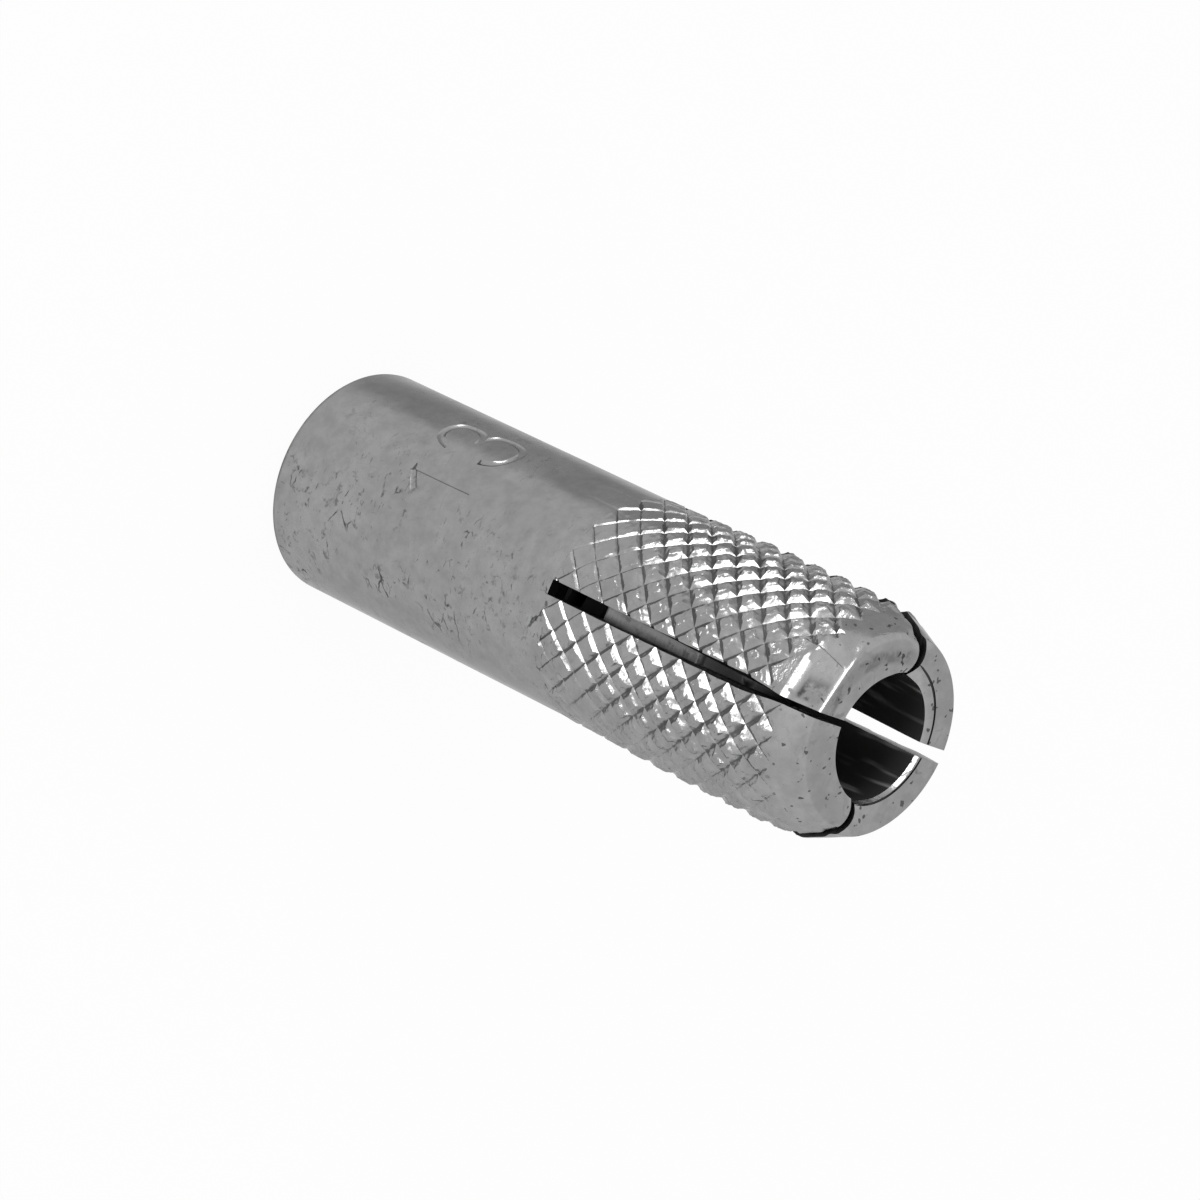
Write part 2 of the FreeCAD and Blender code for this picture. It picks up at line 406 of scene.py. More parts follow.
class SleeveSkin:
    """Rings of points from the mouth to the tip outside, and back down the bore."""

    def __init__(self, sleeve, knurl):
        self.sleeve = sleeve
        self.knurl = knurl
        self.columns = 2 * knurl.starts * knurl.cells
        self.inner_columns = self.columns // 3
        self.verts = []
        self.faces = []
        self.bore_faces = range(0)

    def add_ring(self, columns, place_at):
        """Adds a ring of points; place_at gives the radius and height at each turn."""
        first = len(self.verts)
        for column in range(columns):
            turn = self.knurl.turn + 2 * math.pi * column / columns
            radius, height = place_at(turn)
            self.verts.append((radius * math.cos(turn), radius * math.sin(turn), height))
        return first

    def join_rings(self, low, high, columns, valley=None):
        """Quads between two rings, or triangles folded along the grooves."""
        for column in range(columns):
            after = (column + 1) % columns
            a, b, c, d = low + column, low + after, high + after, high + column
            if valley is None:
                self.faces.append((a, b, c, d))
            elif valley(column):
                self.faces += [(a, b, c), (a, c, d)]
            else:
                self.faces += [(a, b, d), (b, c, d)]

    def valley_test(self, row):
        """Says which way a cell of this row folds: along the nearer groove."""
        def rising(column):
            across = (column + 0.5) / self.knurl.cells
            along = (row + 0.5) / self.knurl.cells
            phases = [((across + lean * along) / 2) % 1.0 for lean in (-1, 1)]
            falling_near, rising_near = (min(phase, 1 - phase) for phase in phases)
            return falling_near <= rising_near
        return rising

    def outside(self):
        sleeve, knurl = self.sleeve, self.knurl
        rings = []
        for part in range(5):
            swing = part / 4 * math.pi / 2
            height = sleeve.mouth_edge * (1 - math.cos(swing))
            radius = sleeve.barrel_radius - sleeve.mouth_edge * (1 - math.sin(swing))
            rings.append((self.add_ring(self.columns, fixed(radius, height)), None))
        barrel_rows = 6
        barrel = sleeve.plain_length - 0.06 * MM - sleeve.mouth_edge
        for row in range(1, barrel_rows + 1):
            height = sleeve.mouth_edge + barrel * row / barrel_rows
            rings.append((self.add_ring(self.columns, fixed(sleeve.barrel_radius, height)), None))
        step = knurl.pitch / 2 / knurl.cells
        rows = int((LENGTH - sleeve.tip_length + 0.9 * MM - sleeve.plain_length) / step)
        for row in range(rows + 1):
            height = sleeve.plain_length + row * step
            ring = self.add_ring(self.columns, lambda turn: (self.worn(turn, height), height))
            rings.append((ring, self.valley_test(row)))
        last = sleeve.plain_length + rows * step
        tip_rows = 14
        for row in range(1, tip_rows + 1):
            height = last + (LENGTH - last) * math.sin(row / tip_rows * math.pi / 2)
            ring = self.add_ring(self.columns, lambda turn: (tip_radius(turn, height, sleeve), height))
            rings.append((ring, None))
        for (low, test), (high, _) in zip(rings, rings[1:]):
            self.join_rings(low, high, self.columns, test)
        return rings[0][0], rings[-1][0]

    def worn(self, turn, height):
        """The knurl as far as the closing die left it."""
        knurl = knurl_radius(turn, height, self.sleeve, self.knurl)
        run = height - (LENGTH - self.sleeve.tip_length)
        aside = facet_aside(turn)
        if aside is not None and aside < FACET_REACH and run > -1.9 * MM:
            crest = knurl_crest(height, self.sleeve, self.knurl)
            left = 1 - 0.85 * smoothstep((run + 1.9 * MM) / (2.1 * MM))
            return min(crest - (crest - knurl) * left, tip_radius(turn, height, self.sleeve))
        if run < -0.9 * MM:
            return knurl
        return min(knurl, tip_radius(turn, height, self.sleeve))

    def inside(self):
        """Rings of the bore from the tip down to the mouth."""
        sleeve = self.sleeve
        relief = sleeve.chamber_radius - sleeve.thread_minor
        sink = sleeve.thread_major + 0.2 * MM
        columns = self.inner_columns

        def lip(share):
            def place_at(turn):
                outer, inner, depth = lip_outer(turn, sleeve), tip_bore(turn, sleeve), lip_depth(turn)
                return inner + (outer - inner) * (1 - share), LENGTH - depth * share
            return place_at

        def face(share):
            def place_at(turn):
                outer = tip_radius(turn, LENGTH, sleeve)
                return outer + (lip_outer(turn, sleeve) - outer) * share, LENGTH
            return place_at

        def throat(turn):
            back = 0.0 if on_front_leaf(turn) else tip_bore(turn, sleeve) - sleeve.tip_bore
            return sleeve.tip_bore + 0.08 * MM + back, LENGTH - 1.3 * MM

        rings = [self.add_ring(columns, face(share)) for share in (0.15, 0.3, 0.45, 0.6, 0.75, 0.9)]
        rings += [self.add_ring(columns, lip(share)) for share in (0.0, 0.5, 1.0)]
        lip_end = len(rings) - 1
        rings.append(self.add_ring(columns, throat))
        profile = [
            (sleeve.chamber_radius, sleeve.chamber_end),
            (sleeve.chamber_radius, sleeve.thread_depth + relief),
            (sleeve.thread_minor, sleeve.thread_depth),
            (sleeve.thread_minor, sink - sleeve.thread_minor),
            (sink, 0.0),
        ]
        rings += [self.add_ring(columns, fixed(radius, height)) for radius, height in profile]
        bore_start = 0
        for number, (high, low) in enumerate(zip(rings, rings[1:])):
            if number == lip_end:
                bore_start = len(self.faces)
            self.join_rings(high, low, columns)
        self.bore_faces = range(bore_start, len(self.faces))
        return rings[0], rings[-1]

    def end_face(self, outer, inner, upwards):
        """A flat ring from the fine outside ring to the coarser bore ring."""
        share = self.columns // self.inner_columns
        for column in range(self.inner_columns):
            after = (column + 1) % self.inner_columns
            rim = [outer + (column * share + k) % self.columns for k in range(share + 1)]
            face = [inner + column] + rim + [inner + after]
            self.faces.append(tuple(face if upwards else reversed(face)))

    def build(self, name):
        mouth_outer, tip_outer = self.outside()
        tip_inner, mouth_inner = self.inside()
        self.end_face(tip_outer, tip_inner, True)
        self.end_face(mouth_outer, mouth_inner, False)
        mesh = bpy.data.meshes.new(name)
        mesh.from_pydata(self.verts, [], self.faces)
        for number in self.bore_faces:
            mesh.polygons[number].material_index = 1
        return add_object(name, mesh)


def slot_blades(slots, dark_material, sawn_material):
    """Four saw blades: front, back and one for each side."""
    inner, outer = 2.5 * MM, 11 * MM
    top = LENGTH + 1 * MM
    blades = []
    # The front and side slots get the near-black painted shade for the shade inside them; the back slot
    # keeps the sawn steel
    for turn, width, material in (
        (0, slots.width, dark_material), (math.pi, slots.width, sawn_material),
        (-math.pi / 2 - slots.left_turn, slots.left_width, dark_material),
        (math.pi / 2 + slots.right_turn, slots.right_width, dark_material),
    ):
        deselect_all()
        bpy.ops.mesh.primitive_cube_add(size=1)
        blade = bpy.context.object
        blade.scale = (width, outer - inner, top - slots.start)
        blade.location = (0, -(outer + inner) / 2, (top + slots.start) / 2)
        apply_place(blade)
        blade.rotation_euler = (0, 0, turn)
        apply_place(blade)
        blade.data.materials.append(material)
        blades.append(blade)
    return blades


def thread_rod(sleeve, material):
    """The helical groove of the thread, as a rod that is cut out of the bore."""
    pitch = sleeve.thread_pitch
    under = 0.10 * MM
    mouth_half = pitch * 3 / 8 + under * math.tan(math.radians(30))
    root_half = pitch / 16
    section = [
        (sleeve.thread_minor - under, -mouth_half), (sleeve.thread_major, -root_half),
        (sleeve.thread_major, root_half), (sleeve.thread_minor - under, mouth_half),
    ]
    mesh = bpy.data.meshes.new("thread_rod")
    mesh.from_pydata([(radius, 0, z - pitch) for radius, z in section],
                     [(0, 1), (1, 2), (2, 3), (3, 0)], [])
    rod = add_object("thread_rod", mesh)
    select_only(rod)
    screw = rod.modifiers.new("Screw", "SCREW")
    screw.axis = "Z"
    screw.steps = 64
    screw.render_steps = 64
    screw.screw_offset = pitch
    screw.iterations = int((sleeve.thread_depth + pitch) / pitch)
    bpy.ops.object.modifier_apply(modifier=screw.name)
    bpy.ops.object.mode_set(mode="EDIT")
    bpy.ops.mesh.select_all(action="DESELECT")
    bpy.ops.mesh.select_non_manifold()
    bpy.ops.mesh.fill_holes(sides=0)
    bpy.ops.mesh.select_all(action="SELECT")
    bpy.ops.mesh.normals_make_consistent(inside=False)
    bpy.ops.object.mode_set(mode="OBJECT")
    rod.data.materials.append(material)
    return rod


def lip_scribe(material):
    """A fine ring tilted so that it scores the back leaves' end faces only."""
    deselect_all()
    bpy.ops.mesh.primitive_torus_add(
        major_radius=5.03 * MM, minor_radius=0.105 * MM, major_segments=128, minor_segments=8)
    ring = bpy.context.object
    ring.rotation_euler = (math.radians(-2.0), 0, 0)
    ring.location = (-0.24 * MM, 0.04 * MM, LENGTH + 0.125 * MM)
    apply_place(ring)
    # The ring's material is the near-black painted shade, which colours the scribed line dark
    ring.data.materials.append(material)
    return ring


def stamp_stroke(points, sleeve, material):
    """One stroke of the stamped number: a rod laid along its points, partly under the surface."""
    curve = bpy.data.curves.new("stroke", "CURVE")
    curve.dimensions = "3D"
    curve.bevel_depth = STAMP_ROD
    curve.bevel_resolution = 14
    curve.use_fill_caps = True
    spline = curve.splines.new("NURBS")
    spline.points.add(len(points) - 1)
    for point, (height, aside) in zip(spline.points, points):
        turn = math.radians(CAMERA_SIDE - aside)
        radius = sleeve.barrel_radius + STAMP_OFF
        point.co = (radius * math.cos(turn), radius * math.sin(turn), height * MM, 1.0)
    spline.order_u = 3
    spline.use_endpoint_u = True
    spline.resolution_u = 6
    select_only(add_object("stroke", curve))
    bpy.ops.object.convert(target="MESH")
    stroke = bpy.context.object
    stroke.data.materials.append(material)
    return stroke


def slot_swell(place):
    """Shift of a point at a side slot's mouth, where the die swelled the leaf's corner."""
    across = (abs(place.x) - 5.6 * MM) / (1.15 * MM)
    near = smoothstep(1 - abs(place.y - 0.35 * MM) / (1.9 * MM))
    near *= smoothstep((place.z - LENGTH + 1.5 * MM) / (1.3 * MM))
    curve = min(1.6, across * across)
    return Vector((0, 0.42 * MM * (1 - curve), -0.28 * MM * curve)) * near


def bend_leaves(piece, slots):
    """Leans each leaf in as one, as the closing die did, the front pair further."""
    for vertex in piece.data.vertices:
        run = (vertex.co.z - (LENGTH - slots.bend_from)) / slots.bend_over
        if run <= 0:
            continue
        swell = slot_swell(vertex.co)
        front = vertex.co.y < FRONT_SHARE * abs(vertex.co.x)
        close = slots.front_close if front else slots.back_close
        share = smoothstep(run)
        vertex.co.x -= math.copysign(close, vertex.co.x) * share
        vertex.co.y += slots.front_lean * share if front else 0.0
        vertex.co += swell


def mark_grooves(piece, sleeve, knurl):
    """Stores how deep in the knurl each point lies, for the darkening deep in the grooves and the burrs
    on the crests.
    """
    mesh = piece.data
    attribute = mesh.attributes.new("groove", "FLOAT", "POINT")
    relief = knurl.crest_rise + 0.30 * MM
    depths = []
    for vertex in mesh.vertices:
        radius = math.hypot(vertex.co.x, vertex.co.y)
        depth = (knurl_crest(vertex.co.z, sleeve, knurl) - radius) / relief
        inside_knurl = sleeve.plain_length < vertex.co.z < LENGTH - sleeve.tip_length - 0.4 * MM
        depths.append(min(1.0, max(0.0, depth)) if inside_knurl and radius > 7 * MM else 0.0)
    attribute.data.foreach_set("value", depths)


class NodeTree:
    """Short calls for building shader nodes."""

    def __init__(self, tree):
        self.tree = tree

    def add(self, kind, **values):
        node = self.tree.nodes.new(kind)
        for name, value in values.items():
            setattr(node, name, value)
        return node

    def link(self, source, target):
        self.tree.links.new(source, target)

    def feed(self, target, value):
        if isinstance(value, bpy.types.NodeSocket):
            self.link(value, target)
        else:
            target.default_value = value

    def math(self, operation, first, second, clamp=False):
        node = self.add("ShaderNodeMath", operation=operation, use_clamp=clamp)
        self.feed(node.inputs[0], first)
        self.feed(node.inputs[1], second)
        return node.outputs[0]

    def product(self, first, *others):
        for other in others:
            first = self.math("MULTIPLY", first, other)
        return first

    def total(self, first, *others):
        for other in others:
            first = self.math("ADD", first, other)
        return first

    def vector_math(self, operation, vector, second=(0.0, 0.0, 0.0), scale=1.0, output="Vector"):
        node = self.add("ShaderNodeVectorMath", operation=operation)
        self.link(vector, node.inputs[0])
        self.feed(node.inputs[1], second)
        self.feed(node.inputs[3], scale)
        return node.outputs[output]

    def stretched(self, vector, scale, turn=(0.0, 0.0, 0.0)):
        node = self.add("ShaderNodeMapping")
        node.inputs["Rotation"].default_value = turn
        node.inputs["Scale"].default_value = scale
        self.link(vector, node.inputs["Vector"])
        return node.outputs["Vector"]

    def split(self, vector):
        node = self.add("ShaderNodeSeparateXYZ")
        self.link(vector, node.inputs["Vector"])
        return node.outputs

    def noise(self, vector, scale, detail=3.0, roughness=0.5, distortion=0.0, output="Fac"):
        node = self.add("ShaderNodeTexNoise")
        self.link(vector, node.inputs["Vector"])
        self.feed(node.inputs["Scale"], scale)
        self.feed(node.inputs["Detail"], detail)
        self.feed(node.inputs["Roughness"], roughness)
        self.feed(node.inputs["Distortion"], distortion)
        return node.outputs[output]

    def ramp(self, value, low, high, to_low=0.0, to_high=1.0):
        node = self.add("ShaderNodeMapRange", interpolation_type="SMOOTHSTEP")
        self.feed(node.inputs["Value"], value)
        self.feed(node.inputs["From Min"], low)
        self.feed(node.inputs["From Max"], high)
        self.feed(node.inputs["To Min"], to_low)
        self.feed(node.inputs["To Max"], to_high)
        return node.outputs["Result"]

    def mix(self, share, first, second):
        node = self.add("ShaderNodeMix", data_type="RGBA")
        self.feed(node.inputs["Factor"], share)
        self.feed(node.inputs["A"], first)
        self.feed(node.inputs["B"], second)
        return node.outputs["Result"]


def effect_group(name, inputs, outputs):
    """A shader node group with float inputs, each with its default, and float outputs."""
    tree = bpy.data.node_groups.new(name, "ShaderNodeTree")
    tree.interface.new_socket(name="Vector", in_out="INPUT", socket_type="NodeSocketVector")
    for socket_name, value in inputs:
        socket = tree.interface.new_socket(
            name=socket_name, in_out="INPUT", socket_type="NodeSocketFloat")
        socket.default_value = value
    for socket_name in outputs:
        tree.interface.new_socket(name=socket_name, in_out="OUTPUT", socket_type="NodeSocketFloat")
    nodes = NodeTree(tree)
    return nodes, nodes.add("NodeGroupInput").outputs, nodes.add("NodeGroupOutput").inputs


def crack_group():
    """Short, broken, branching dark scratches that run mostly round the sleeve."""
    nodes, given, result = effect_group(
        "Broken Scratches", [("Scale", 1000.0), ("Width", 0.03), ("Cover", 0.55)], ["Mask"])
    place, scale, cover = given["Vector"], given["Scale"], given["Cover"]
    flattened = nodes.stretched(place, (1.0, 1.0, 2.3), (0.35, 0.25, 0.0))
    warp = nodes.noise(place, nodes.product(scale, 2.2), output="Color")
    push = nodes.vector_math("SCALE", warp, scale=nodes.math("DIVIDE", 0.55, scale))
    cells = nodes.add("ShaderNodeTexVoronoi", feature="DISTANCE_TO_EDGE")
    nodes.link(nodes.vector_math("ADD", flattened, push), cells.inputs["Vector"])
    nodes.link(scale, cells.inputs["Scale"])
    line = nodes.ramp(cells.outputs["Distance"], 0.0, given["Width"], 1.0, 0.0)
    patch = nodes.ramp(nodes.noise(place, nodes.product(scale, 1.3)), cover, nodes.total(cover, 0.09))
    breaks = nodes.ramp(nodes.noise(place, nodes.product(scale, 3.1), detail=1.0), 0.45, 0.53)
    nodes.link(nodes.product(line, breaks, patch), result["Mask"])
    return nodes.tree


def smudge_group():
    """Cloudy patches, and small soft blotches gathered in them."""
    nodes, given, result = effect_group(
        "Cloudy Smudges", [("Scale", 150.0), ("Cover", 0.5)], ["Cloud", "Blotch"])
    place, scale, cover = given["Vector"], given["Scale"], given["Cover"]
    cloud = nodes.noise(place, scale, detail=4.0, roughness=0.6, distortion=0.4)
    blotch = nodes.noise(place, nodes.product(scale, 7.0), detail=4.0, roughness=0.65)
    spots = nodes.ramp(blotch, cover, nodes.total(cover, 0.14))
    nodes.link(nodes.ramp(cloud, 0.3, 0.7), result["Cloud"])
    nodes.link(nodes.product(spots, nodes.ramp(cloud, 0.42, 0.60)), result["Blotch"])
    return nodes.tree


def place_group(nodes, tree, vector, **values):
    node = nodes.add("ShaderNodeGroup", node_tree=tree)
    nodes.link(vector, node.inputs["Vector"])
    for name, value in values.items():
        nodes.feed(node.inputs[name], value)
    return node.outputs


def new_material(name, metallic=1.0):
    material = bpy.data.materials.new(name)
    material.use_nodes = True
    nodes = NodeTree(material.node_tree)
    shader = material.node_tree.nodes["Principled BSDF"]
    shader.inputs["Metallic"].default_value = metallic
    return material, nodes, shader.inputs, nodes.add("ShaderNodeTexCoord").outputs["Object"]


def colour(value, factor=1.0):
    return (value[0] * factor, value[1] * factor, value[2] * factor, 1.0)


def bump(nodes, inputs, height, distance):
    node = nodes.add("ShaderNodeBump")
    node.inputs["Strength"].default_value = 1.0
    node.inputs["Distance"].default_value = distance
    nodes.link(height, node.inputs["Height"])
    nodes.link(node.outputs["Normal"], inputs["Normal"])


def tip_marks(nodes, place, parts, mottle):
    """Dark marks of the tip: pits, a rubbed ring on the front end faces, a blotch by the front slot."""
    height, side, depth = parts["Z"], parts["X"], parts["Y"]
    level = nodes.vector_math("MULTIPLY", place, (1.0, 1.0, 0.0))
    radius = nodes.vector_math("LENGTH", level, output="Value")
    ring = nodes.product(
        nodes.ramp(radius, 4.7 * MM, 5.1 * MM),
        nodes.ramp(radius, 5.6 * MM, 6.1 * MM, 1.0, 0.0),
        nodes.ramp(height, LENGTH - 0.20 * MM, LENGTH - 0.06 * MM),
        nodes.ramp(side, -1.0 * MM, 0.8 * MM, 1.0, 0.15),
        nodes.ramp(depth, -0.5 * MM, 1.0 * MM, 0.45, 0.0))
    blotch = nodes.product(
        nodes.ramp(side, -2.7 * MM, -1.3 * MM),
        nodes.ramp(side, -0.7 * MM, -0.4 * MM, 1.0, 0.0),
        nodes.ramp(height, LENGTH - 1.7 * MM, LENGTH - 1.4 * MM),
        nodes.ramp(height, LENGTH - 0.5 * MM, LENGTH - 0.2 * MM, 1.0, 0.0),
        nodes.ramp(depth, -5.0 * MM, -4.5 * MM, 0.8, 0.0))
    pits = nodes.product(
        nodes.ramp(nodes.noise(place, 1900.0, detail=1.0), 0.680, 0.725, 0.0, 0.85),
        nodes.ramp(height, LENGTH - 3.0 * MM, LENGTH - 1.6 * MM))
    patches = nodes.total(nodes.ramp(mottle, 0.40, 0.60), 0.25)
    return nodes.total(nodes.product(nodes.total(ring, blotch), patches), pits)


def zinc_material(sleeve, finish, cracks, smudges):
    """Satin zinc plating: clouded, smudged, scratched, darker in the grooves and at the mouth."""
    material, nodes, inputs, place = new_material("zinc_plating")
    cloudy = place_group(nodes, smudges, place, Scale=210.0, Cover=0.55)
    coarse = place_group(nodes, cracks, place, Scale=330.0, Width=0.050, Cover=0.53)["Mask"]
    fine = place_group(nodes, cracks, place, Scale=820.0, Width=0.075, Cover=0.53)["Mask"]
    groove = nodes.add("ShaderNodeAttribute", attribute_name="groove").outputs["Fac"]
    parts = nodes.split(place)
    height = parts["Z"]
    knurl_start = sleeve.plain_length
    mottle = nodes.noise(place, 900.0, detail=5.0, roughness=0.65)

    # Where the scratches and blotches gather: towards +X, on the plain half, in patches
    front = nodes.ramp(parts["X"], -6.0 * MM, 0.0, 0.35, 1.0)
    gathered = nodes.ramp(nodes.noise(place, 190.0, detail=2.0), 0.40, 0.58, 0.20, 1.0)
    plain = nodes.ramp(height, knurl_start - 0.3 * MM, knurl_start + 2.7 * MM, 1.0, 0.40)
    marks = nodes.total(nodes.product(cloudy["Blotch"], 0.60), coarse, nodes.product(fine, 0.70))
    marks = nodes.product(marks, front, nodes.product(plain, gathered))
    rim = nodes.product(nodes.ramp(height, 0.10 * MM, 0.50 * MM, 0.85, 0.0),
                        nodes.ramp(cloudy["Cloud"], 0.10, 0.45, 0.35, 1.0))
    # Darker deep in the knurl's grooves
    groove_darkening = nodes.ramp(groove, 0.80, 1.0, 0.0, 0.20)
    shade = nodes.total(marks, tip_marks(nodes, place, parts, mottle))
    shade = nodes.math("ADD", shade, nodes.total(groove_darkening, rim), clamp=True)

    # Tone of the clean plating: clouded, lighter where the die rubbed it, duller on the end faces
    tone = nodes.total(nodes.product(cloudy["Cloud"], 0.45), nodes.ramp(mottle, 0.30, 0.70, 0.0, 0.45))
    rubbed = nodes.ramp(height, LENGTH - 2.3 * MM, LENGTH - 1.9 * MM, 0.0, 0.25)
    end = nodes.ramp(height, LENGTH - 0.12 * MM, LENGTH - 0.03 * MM, 0.0, 0.40)
    tone = nodes.math("SUBTRACT", nodes.total(tone, rubbed), end, clamp=True)
    base = nodes.mix(tone, colour(finish.zinc, 0.80), colour(finish.zinc, 1.16))
    nodes.link(nodes.mix(shade, base, colour(finish.tarnish_and_shade)), inputs["Base Color"])
    rough = nodes.ramp(cloudy["Cloud"], 0.0, 1.0, 0.19, 0.27)
    nodes.link(nodes.total(rough, nodes.product(shade, 0.2)), inputs["Roughness"])
    inputs["Specular Tint"].default_value = (0.68, 0.68, 0.68, 1.0)

    # Fine relief: skin everywhere, burrs on the knurl's crests, and the scratches cut in
    burr = nodes.product(
        nodes.noise(place, 4200.0, detail=2.0, roughness=0.6),
        nodes.ramp(groove, 0.02, 0.35, 1.0, 0.15),
        nodes.ramp(height, knurl_start - 0.1 * MM, knurl_start + 7.7 * MM, 0.0, 3.6),
        nodes.ramp(height, LENGTH - 3.0 * MM, LENGTH - 2.2 * MM, 1.0, 0.15))
    skin = nodes.noise(place, 1100.0, detail=4.0, roughness=0.6)
    skin = nodes.math("SUBTRACT", skin, nodes.product(coarse, 0.5))
    bump(nodes, inputs, nodes.total(skin, burr), 0.014 * MM)
    return material


def bore_material(finish):
    """Dark, oiled inside of the bore with faint drawn streaks."""
    material, nodes, inputs, place = new_material("oiled_bore", 0.8)
    streak = nodes.noise(nodes.stretched(place, (1.0, 1.0, 0.10)), 1000.0, detail=2.0)
    streak = nodes.ramp(streak, 0.56, 0.72)
    base = nodes.mix(streak, colour(finish.bore), colour(finish.bore, 5.0))
    nodes.link(base, inputs["Base Color"])
    nodes.link(nodes.ramp(streak, 0.0, 1.0, 0.30, 0.5), inputs["Roughness"])
    bump(nodes, inputs, streak, 0.01 * MM)
    return material


def sawn_material(name, level):
    """Slot walls, with the fine marks that the saw leaves along them."""
    material, nodes, inputs, place = new_material(name)
    cut = nodes.noise(nodes.stretched(place, (0.2, 0.2, 1.0)), 2600.0, detail=3.0)
    specks = nodes.ramp(nodes.noise(place, 1500.0, detail=2.0), 0.62, 0.70, 0.0, 0.8)
    base = nodes.mix(cut, colour(level), colour(level, 1.9))
    nodes.link(nodes.mix(specks, base, colour(level, 0.2)), inputs["Base Color"])
    nodes.link(nodes.ramp(cut, 0.2, 0.8, 0.38, 0.55), inputs["Roughness"])
    bump(nodes, inputs, cut, 0.02 * MM)
    return material


def plug_material(finish, smudges):
    """Turned steel: fine rings round the axis, a few blotches, and painted shade darkening its nose."""
    material, nodes, inputs, place = new_material("turned_steel")
    rings = nodes.add("ShaderNodeTexWave", wave_type="BANDS", bands_direction="Z")
    rings.inputs["Scale"].default_value = 900.0
    rings.inputs["Distortion"].default_value = 1.5
    rings.inputs["Detail"].default_value = 2.0
    nodes.link(place, rings.inputs["Vector"])
    cloudy = place_group(nodes, smudges, place, Scale=260.0, Cover=0.5)
    base = nodes.mix(cloudy["Cloud"], colour(finish.plug), colour(finish.plug, 1.15))
    height = nodes.split(place)["Z"]
    # Painted shade: the nose is darkened towards the dark colour, standing in for the shade inside the
    # bore's taper
    painted_nose_shade = nodes.ramp(height, PLUG_HIGH.z - 0.3 * MM, PLUG_HIGH.z - 0.1 * MM, 0.0, 0.85)
    shade = nodes.math("MAXIMUM", nodes.product(cloudy["Blotch"], 0.6), painted_nose_shade)
    nodes.link(nodes.mix(shade, base, colour(finish.tarnish_and_shade)), inputs["Base Color"])
    nodes.link(nodes.ramp(cloudy["Cloud"], 0.0, 1.0, 0.3, 0.45), inputs["Roughness"])
    bump(nodes, inputs, rings.outputs["Fac"], 0.006 * MM)
    return material


class ANCHOR_OT_sleeve(bpy.types.Operator):
    """Model the knurled, slotted sleeve with its thread and stamped number"""
    bl_idname = "anchor.sleeve"
    bl_label = "Anchor Sleeve"

    def execute(self, context):
        sleeve = context.scene.anchor_sleeve
        slots = context.scene.anchor_slots
        knurl = context.scene.anchor_knurl
        finish = context.scene.anchor_finish
        zinc = zinc_material(sleeve, finish, crack_group(), smudge_group())
        bore = bore_material(finish)
        sawn = sawn_material("sawn_steel", finish.sawn)
        # Near-black walls for the front and side slots and the scribed line: painted shade, standing in
        # for the shade inside them
        slot_shade_material = sawn_material("painted_shade_slots", finish.painted_slot_shade)
        deselect_all()
        piece = SleeveSkin(sleeve, knurl).build("knurled_sleeve")
        for material in (zinc, bore, sawn, slot_shade_material):
            piece.data.materials.append(material)
        for blade in slot_blades(slots, slot_shade_material, sawn):
            cut_away(piece, blade)
        cut_away(piece, thread_rod(sleeve, bore))
        cut_away(piece, lip_scribe(slot_shade_material))
        for points in STAMPED_STROKES:
            cut_away(piece, stamp_stroke(points, sleeve, zinc))
        mark_grooves(piece, sleeve, knurl)
        bend_leaves(piece, slots)
        check_closed(piece)
        select_only(piece)
        bpy.ops.object.shade_smooth_by_angle(angle=math.radians(24))
        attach(piece, "root")
        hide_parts("anchor_sleeve")
        return {"FINISHED"}


class ANCHOR_OT_plug(bpy.types.Operator):
    """Model the expander plug that is wedged in the bore"""
    bl_idname = "anchor.plug"
    bl_label = "Expander Plug"

    def execute(self, context):
        finish = context.scene.anchor_finish
        sleeve = context.scene.anchor_sleeve
        run = LENGTH - sleeve.tip_lip - sleeve.chamber_end
        taper = (sleeve.chamber_radius - sleeve.tip_bore) / run
        gap = 0.05 * MM

        def wall(height):
            return sleeve.chamber_radius - taper * (height - sleeve.chamber_end) - gap

        rear, front = PLUG_LOW.z, PLUG_HIGH.z
        dimple = 0.5 * MM
        profile = [
            (0, rear + dimple), (1.1 * MM, rear), (wall(rear) - 0.4 * MM, rear),
            (wall(rear), rear + 0.4 * MM), (wall(front), front - 0.4 * MM),
            (wall(front) - 0.4 * MM, front), (0.9 * MM, front), (0, front - dimple),
        ]
        piece = spun("wedge_plug", profile, 128)
        bevel = piece.modifiers.new("Edges", "BEVEL")
        bevel.width = 0.12 * MM
        bevel.segments = 3
        bevel.limit_method = "ANGLE"
        bevel.angle_limit = math.radians(20)
        bpy.ops.object.modifier_apply(modifier=bevel.name)
        bpy.ops.object.shade_smooth_by_angle(angle=math.radians(30))
        piece.data.materials.append(plug_material(finish, bpy.data.node_groups["Cloudy Smudges"]))
        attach(piece, "root")
        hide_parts("expander_plug")
        return {"FINISHED"}


def direction(azimuth, elevation):
    """Unit vector towards a place round the sleeve and above the floor."""
    flat = math.cos(elevation)
    return Vector((flat * math.cos(azimuth), flat * math.sin(azimuth), math.sin(elevation)))


def camera_placed(studio):
    """Places the photograph's camera, with its aim, roll and lens, and gives the sleeve's middle."""
    middle = Vector((0, 0, LENGTH / 2))
    away = direction(studio.camera_azimuth, studio.camera_elevation)
    level = (-away).to_track_quat("-Z", "Y")
    turn = (level @ Quaternion((0, 0, 1), studio.camera_roll)).to_matrix()
    right, up = turn.col[0], turn.col[1]
    place = middle + away * studio.camera_distance
    place = place - right * studio.camera_right + up * studio.camera_down
    data = bpy.data.cameras.new("camera")
    data.lens = studio.lens
    data.sensor_width = 36.0
    data.clip_start = 0.01
    camera = add_object("camera", data)
    camera.matrix_world = Matrix.Translation(place) @ turn.to_4x4()
    bpy.context.scene.camera = camera
    return middle


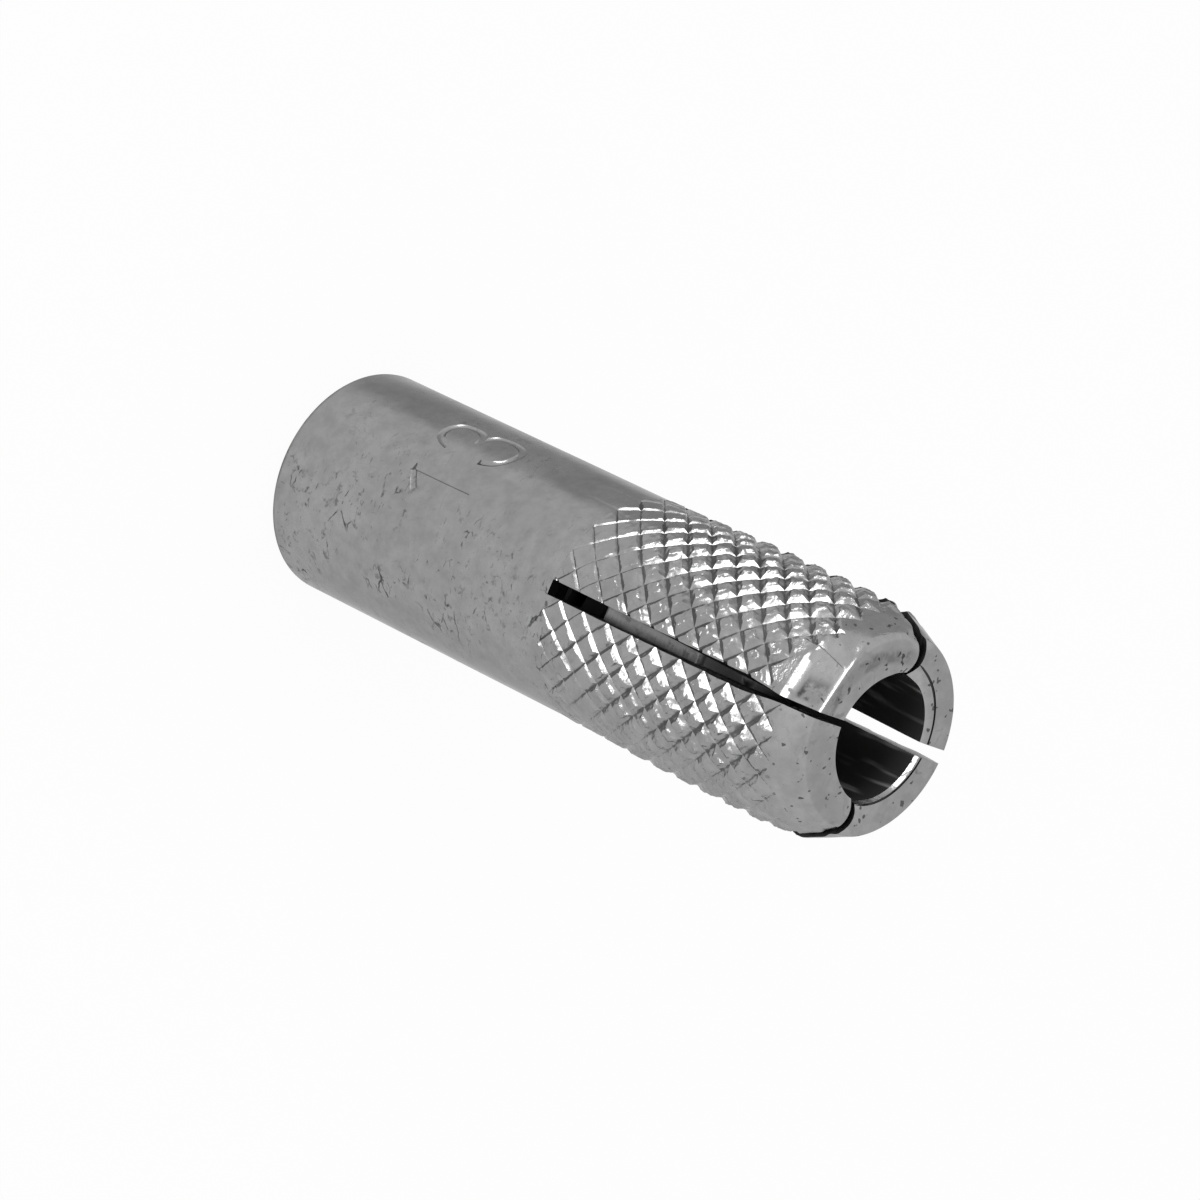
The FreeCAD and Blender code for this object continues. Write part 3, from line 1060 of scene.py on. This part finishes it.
def softbox(name, middle, studio):
    """A rectangular lamp, level with the floor, that faces the sleeve."""
    lamp = bpy.data.lights.new(name, "AREA")
    lamp.shape = "RECTANGLE"
    lamp.size = studio.lamp_width
    lamp.size_y = studio.lamp_height
    lamp.energy = studio.lamp_radiance * math.pi * studio.lamp_width * studio.lamp_height
    box = add_object(name, lamp)
    towards = direction(studio.lamp_azimuth, studio.lamp_elevation)
    turn = (-towards).to_track_quat("-Z", "Y").to_matrix().to_4x4()
    box.matrix_world = Matrix.Translation(middle + towards * studio.lamp_distance) @ turn
    box.visible_camera = False


def seen_directly(nodes):
    """Whether the camera sees a point, and whether it, the metal's reflections or glass do."""
    path = nodes.add("ShaderNodeLightPath").outputs
    seen = nodes.math("MAXIMUM", path["Is Camera Ray"], path["Is Glossy Ray"])
    return path["Is Camera Ray"], nodes.math("MAXIMUM", seen, path["Is Transmission Ray"])


def studio_world():
    """A white room, a little dimmer as a light than as it looks."""
    world = bpy.data.worlds.new("studio")
    bpy.context.scene.world = world
    world.use_nodes = True
    nodes = NodeTree(world.node_tree)
    background = world.node_tree.nodes["Background"]
    background.inputs["Color"].default_value = (1, 1, 1, 1)
    _, seen = seen_directly(nodes)
    nodes.link(nodes.total(nodes.product(seen, 0.25), 0.75), background.inputs["Strength"])


def floor_material(finish):
    """Pale floor that looks white, keeps a soft shadow, and is duller in one patch by the sleeve."""
    material, nodes, inputs, place = new_material("pale_floor", 0.0)
    shader = material.node_tree.nodes["Principled BSDF"]
    output = material.node_tree.nodes["Material Output"]
    inputs["Base Color"].default_value = colour(finish.floor)
    inputs["Roughness"].default_value = 1.0
    inputs["Specular IOR Level"].default_value = 0.0
    across = nodes.vector_math("DOT_PRODUCT", place, (0.877, 0.48, 0.0), output="Value")
    patch = nodes.product(nodes.ramp(nodes.split(place)["Y"], -6.2 * MM, -3.6 * MM),
                          nodes.ramp(across, -9.5 * MM, -6.0 * MM, 1.0, 0.0))
    direct, seen = seen_directly(nodes)
    dulled = nodes.math("SUBTRACT", 1.0, nodes.product(patch, 0.40))
    glow = nodes.add("ShaderNodeEmission")
    nodes.link(nodes.math("MAXIMUM", dulled, direct), glow.inputs["Strength"])
    both = nodes.add("ShaderNodeMixShader")
    nodes.link(nodes.product(seen, 0.94), both.inputs["Fac"])
    nodes.link(shader.outputs["BSDF"], both.inputs[1])
    nodes.link(glow.outputs["Emission"], both.inputs[2])
    nodes.link(both.outputs["Shader"], output.inputs["Surface"])
    return material


class ANCHOR_OT_stage(bpy.types.Operator):
    """Set up the floor, the camera, the softbox and the white room"""
    bl_idname = "anchor.stage"
    bl_label = "Studio"

    def execute(self, context):
        studio = context.scene.anchor_studio
        middle = camera_placed(studio)
        softbox("window_softbox", middle, studio)
        studio_world()
        deselect_all()
        bpy.ops.mesh.primitive_plane_add(size=6.0)
        floor = context.object
        floor.name = "floor"
        floor.data.materials.append(floor_material(context.scene.anchor_finish))
        context.scene.view_settings.view_transform = "Standard"
        return {"FINISHED"}


class ANCHOR_PT_panel(bpy.types.Panel):
    """Buttons that build the anchor"""
    bl_idname = "ANCHOR_PT_panel"
    bl_label = "Drop-in Anchor"
    bl_space_type = "VIEW_3D"
    bl_region_type = "UI"
    bl_category = "Anchor"

    def draw(self, context):
        for operator in OPERATORS:
            self.layout.operator(operator.bl_idname)
        for name in SETTINGS:
            box = self.layout.box()
            group = getattr(context.scene, name)
            for field in group.__annotations__:
                box.prop(group, field)


SETTINGS = {
    "anchor_sleeve": SleeveSizes,
    "anchor_slots": SlotSizes,
    "anchor_knurl": KnurlSizes,
    "anchor_finish": FinishColours,
    "anchor_studio": StudioSettings,
}
OPERATORS = (ANCHOR_OT_sleeve, ANCHOR_OT_plug, ANCHOR_OT_stage)
CLASSES = (*SETTINGS.values(), *OPERATORS, ANCHOR_PT_panel)


def register():
    for kind in CLASSES:
        bpy.utils.register_class(kind)
    for name, group in SETTINGS.items():
        setattr(bpy.types.Scene, name, PointerProperty(type=group))


def unregister():
    for name in SETTINGS:
        delattr(bpy.types.Scene, name)
    for kind in reversed(CLASSES):
        bpy.utils.unregister_class(kind)


def main():
    register()
    bpy.ops.anchor.sleeve()
    bpy.ops.anchor.plug()
    bpy.ops.anchor.stage()


if __name__ == "__main__":
    main()
